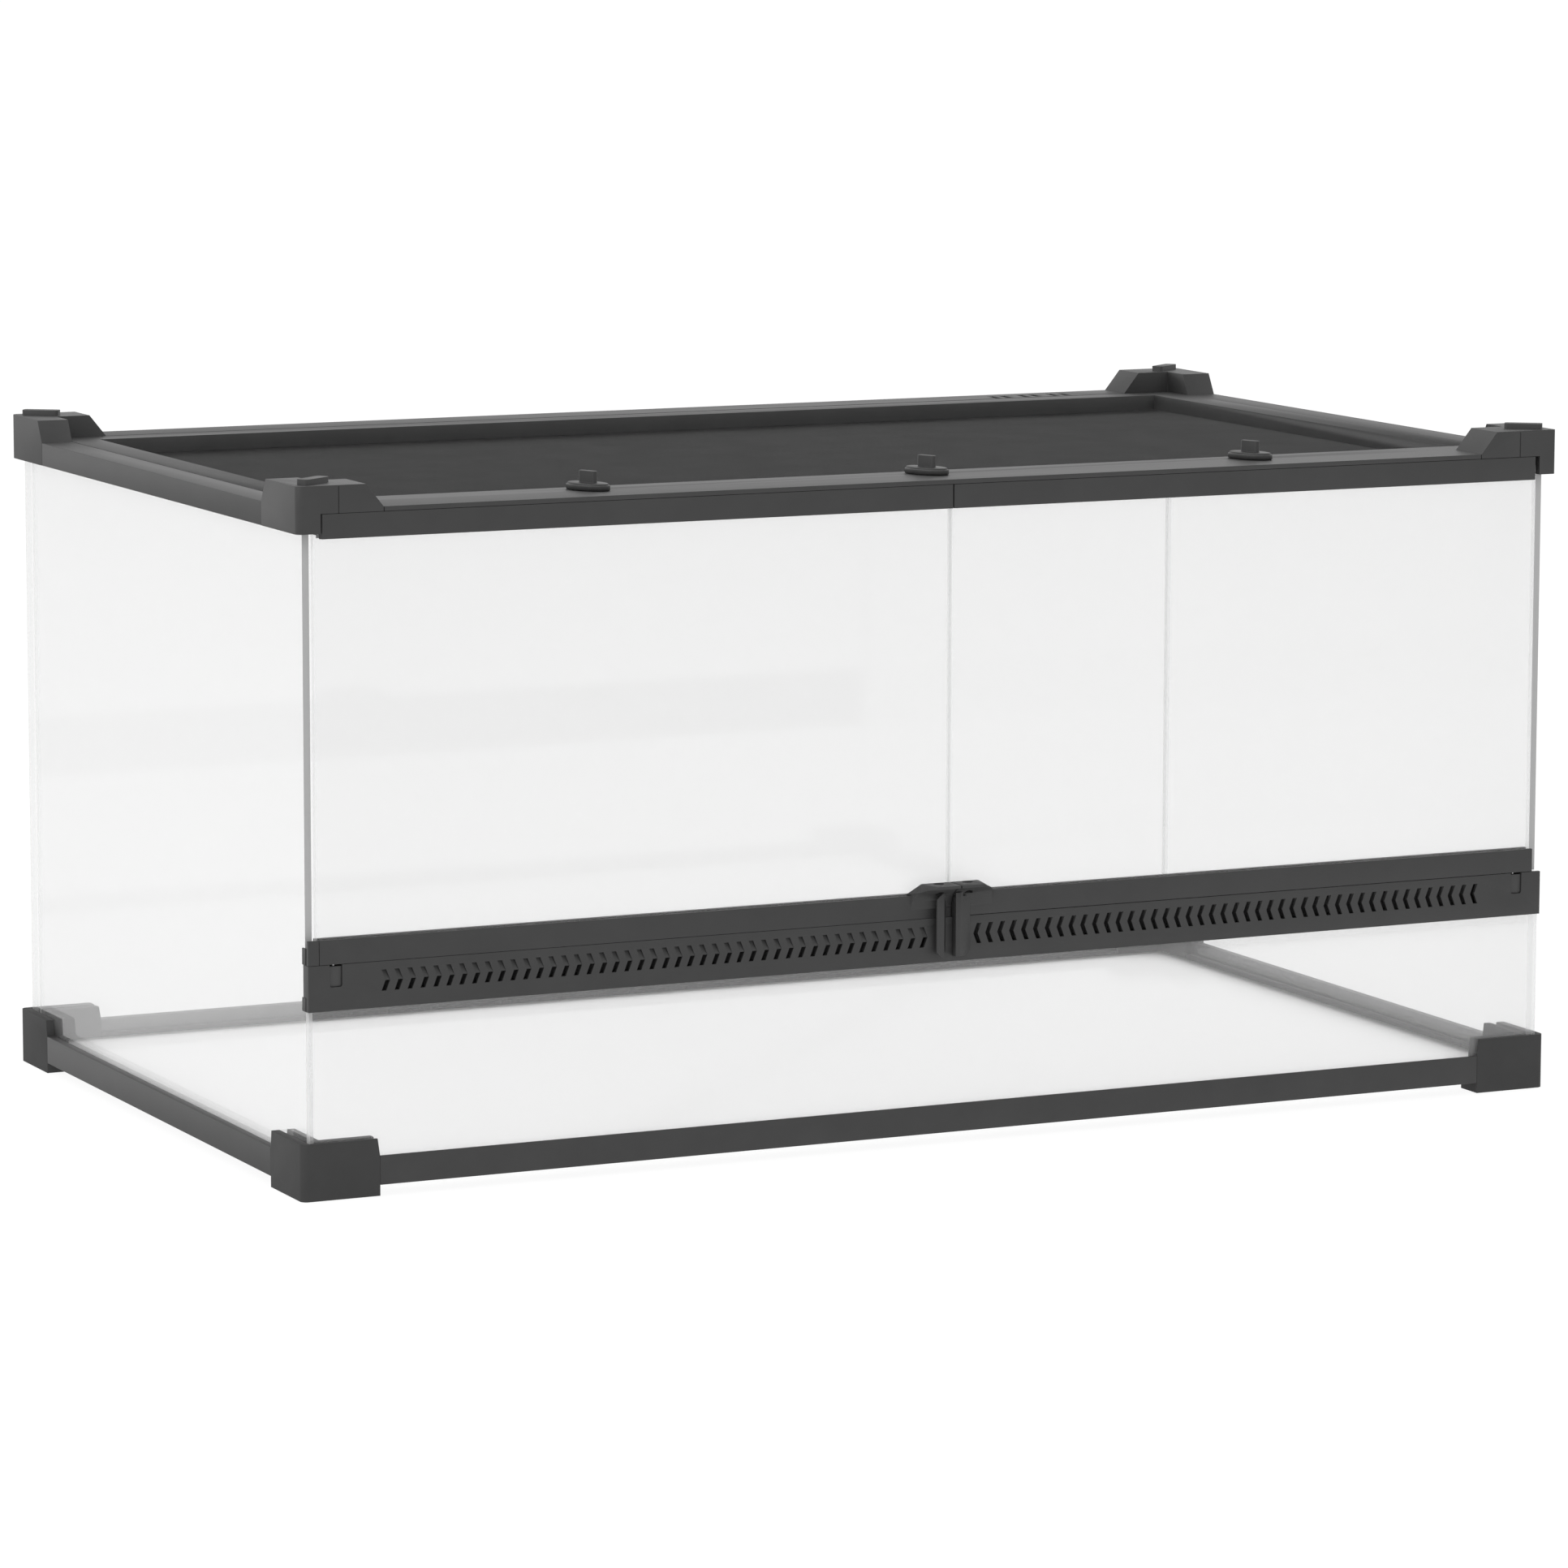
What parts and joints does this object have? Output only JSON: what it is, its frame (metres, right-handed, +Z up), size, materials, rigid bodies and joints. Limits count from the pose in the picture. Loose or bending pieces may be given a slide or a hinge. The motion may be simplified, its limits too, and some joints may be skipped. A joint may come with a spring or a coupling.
{
  "type": "reptile terrarium",
  "caption": "Glass reptile terrarium in a dark plastic frame, with hinged front doors, a chevron vent rail, and a lift-up mesh lid held by twist locks.",
  "frame": {"origin": "middle of the outline seen from above, on the floor under the feet", "axes": "+X to the right as seen from the front, +Y to the back, +Z up; the doors face -Y"},
  "size_m": [1, 0.604, 0.5],
  "materials": {
    "frame_plastic": "satin",
    "lock_plastic": "satin",
    "socket_plastic": "satin",
    "wire_mesh": "matt black woven wire",
    "pin_steel": "bright",
    "clear_glass": "clear polished"
  },
  "bodies": {
    "tank": {"base_front_rail": "frame_plastic", "base_back_rail": "frame_plastic", "base_left_rail": "frame_plastic", "base_right_rail": "frame_plastic", "foot_front_left": "frame_plastic", "foot_front_right": "frame_plastic", "foot_back_left": "frame_plastic", "foot_back_right": "frame_plastic", "floor_glass": "clear_glass", "back_glass": "clear_glass", "left_glass": "clear_glass", "right_glass": "clear_glass", "front_glass": "clear_glass", "vent_rail": "frame_plastic", "left_hinge_socket": "socket_plastic", "right_hinge_socket": "socket_plastic", "left_glass_clip": "frame_plastic", "top_front_rail": "frame_plastic", "top_back_rail": "frame_plastic", "top_left_rail": "frame_plastic", "top_right_rail": "frame_plastic", "corner_front_left": "frame_plastic", "corner_front_right": "frame_plastic", "corner_back_left": "frame_plastic", "corner_back_right": "frame_plastic"},
    "left_door": {"left_door_glass": "clear_glass", "left_door_top_rail": "frame_plastic", "left_door_bottom_rail": "frame_plastic", "left_door_handle": "frame_plastic", "left_door_upper_pin": "pin_steel", "left_door_lower_pin": "pin_steel"},
    "right_door": {"right_door_glass": "clear_glass", "right_door_top_rail": "frame_plastic", "right_door_bottom_rail": "frame_plastic", "right_door_handle": "frame_plastic", "right_door_upper_pin": "pin_steel", "right_door_lower_pin": "pin_steel"},
    "lid": {"lid_front_strip": "frame_plastic", "lid_frame": "frame_plastic", "lid_mesh": "wire_mesh", "lid_left_pin": "pin_steel", "lid_right_pin": "pin_steel"},
    "left_lock": {"left_lock_knob": "lock_plastic", "left_lock_cam": "lock_plastic"},
    "middle_lock": {"middle_lock_knob": "lock_plastic", "middle_lock_cam": "lock_plastic"},
    "right_lock": {"right_lock_knob": "lock_plastic", "right_lock_cam": "lock_plastic"}
  },
  "joints": [
    {"name": "left_door_hinge", "type": "hinge", "parent": "tank", "child": "left_door", "pos_m": [-0.4742, -0.2802, 0.3], "axis": [0, 0, 1], "range_deg": [-110, 0]},
    {"name": "right_door_hinge", "type": "hinge", "parent": "tank", "child": "right_door", "pos_m": [0.4725, -0.2802, 0.3], "axis": [0, 0, 1], "range_deg": [0, 110]},
    {"name": "lid_hinge", "type": "hinge", "parent": "tank", "child": "lid", "pos_m": [0, 0.2657, 0.477], "axis": [-1, 0, 0], "range_deg": [0, 90]},
    {"name": "left_lock_turn", "type": "hinge", "parent": "lid", "child": "left_lock", "pos_m": [-0.265, -0.243, 0.48], "axis": [0, 0, 1], "range_deg": [0, 90]},
    {"name": "middle_lock_turn", "type": "hinge", "parent": "lid", "child": "middle_lock", "pos_m": [0, -0.243, 0.48], "axis": [0, 0, 1], "range_deg": [0, 90]},
    {"name": "right_lock_turn", "type": "hinge", "parent": "lid", "child": "right_lock", "pos_m": [0.265, -0.243, 0.48], "axis": [0, 0, 1], "range_deg": [0, 90]}
  ]
}
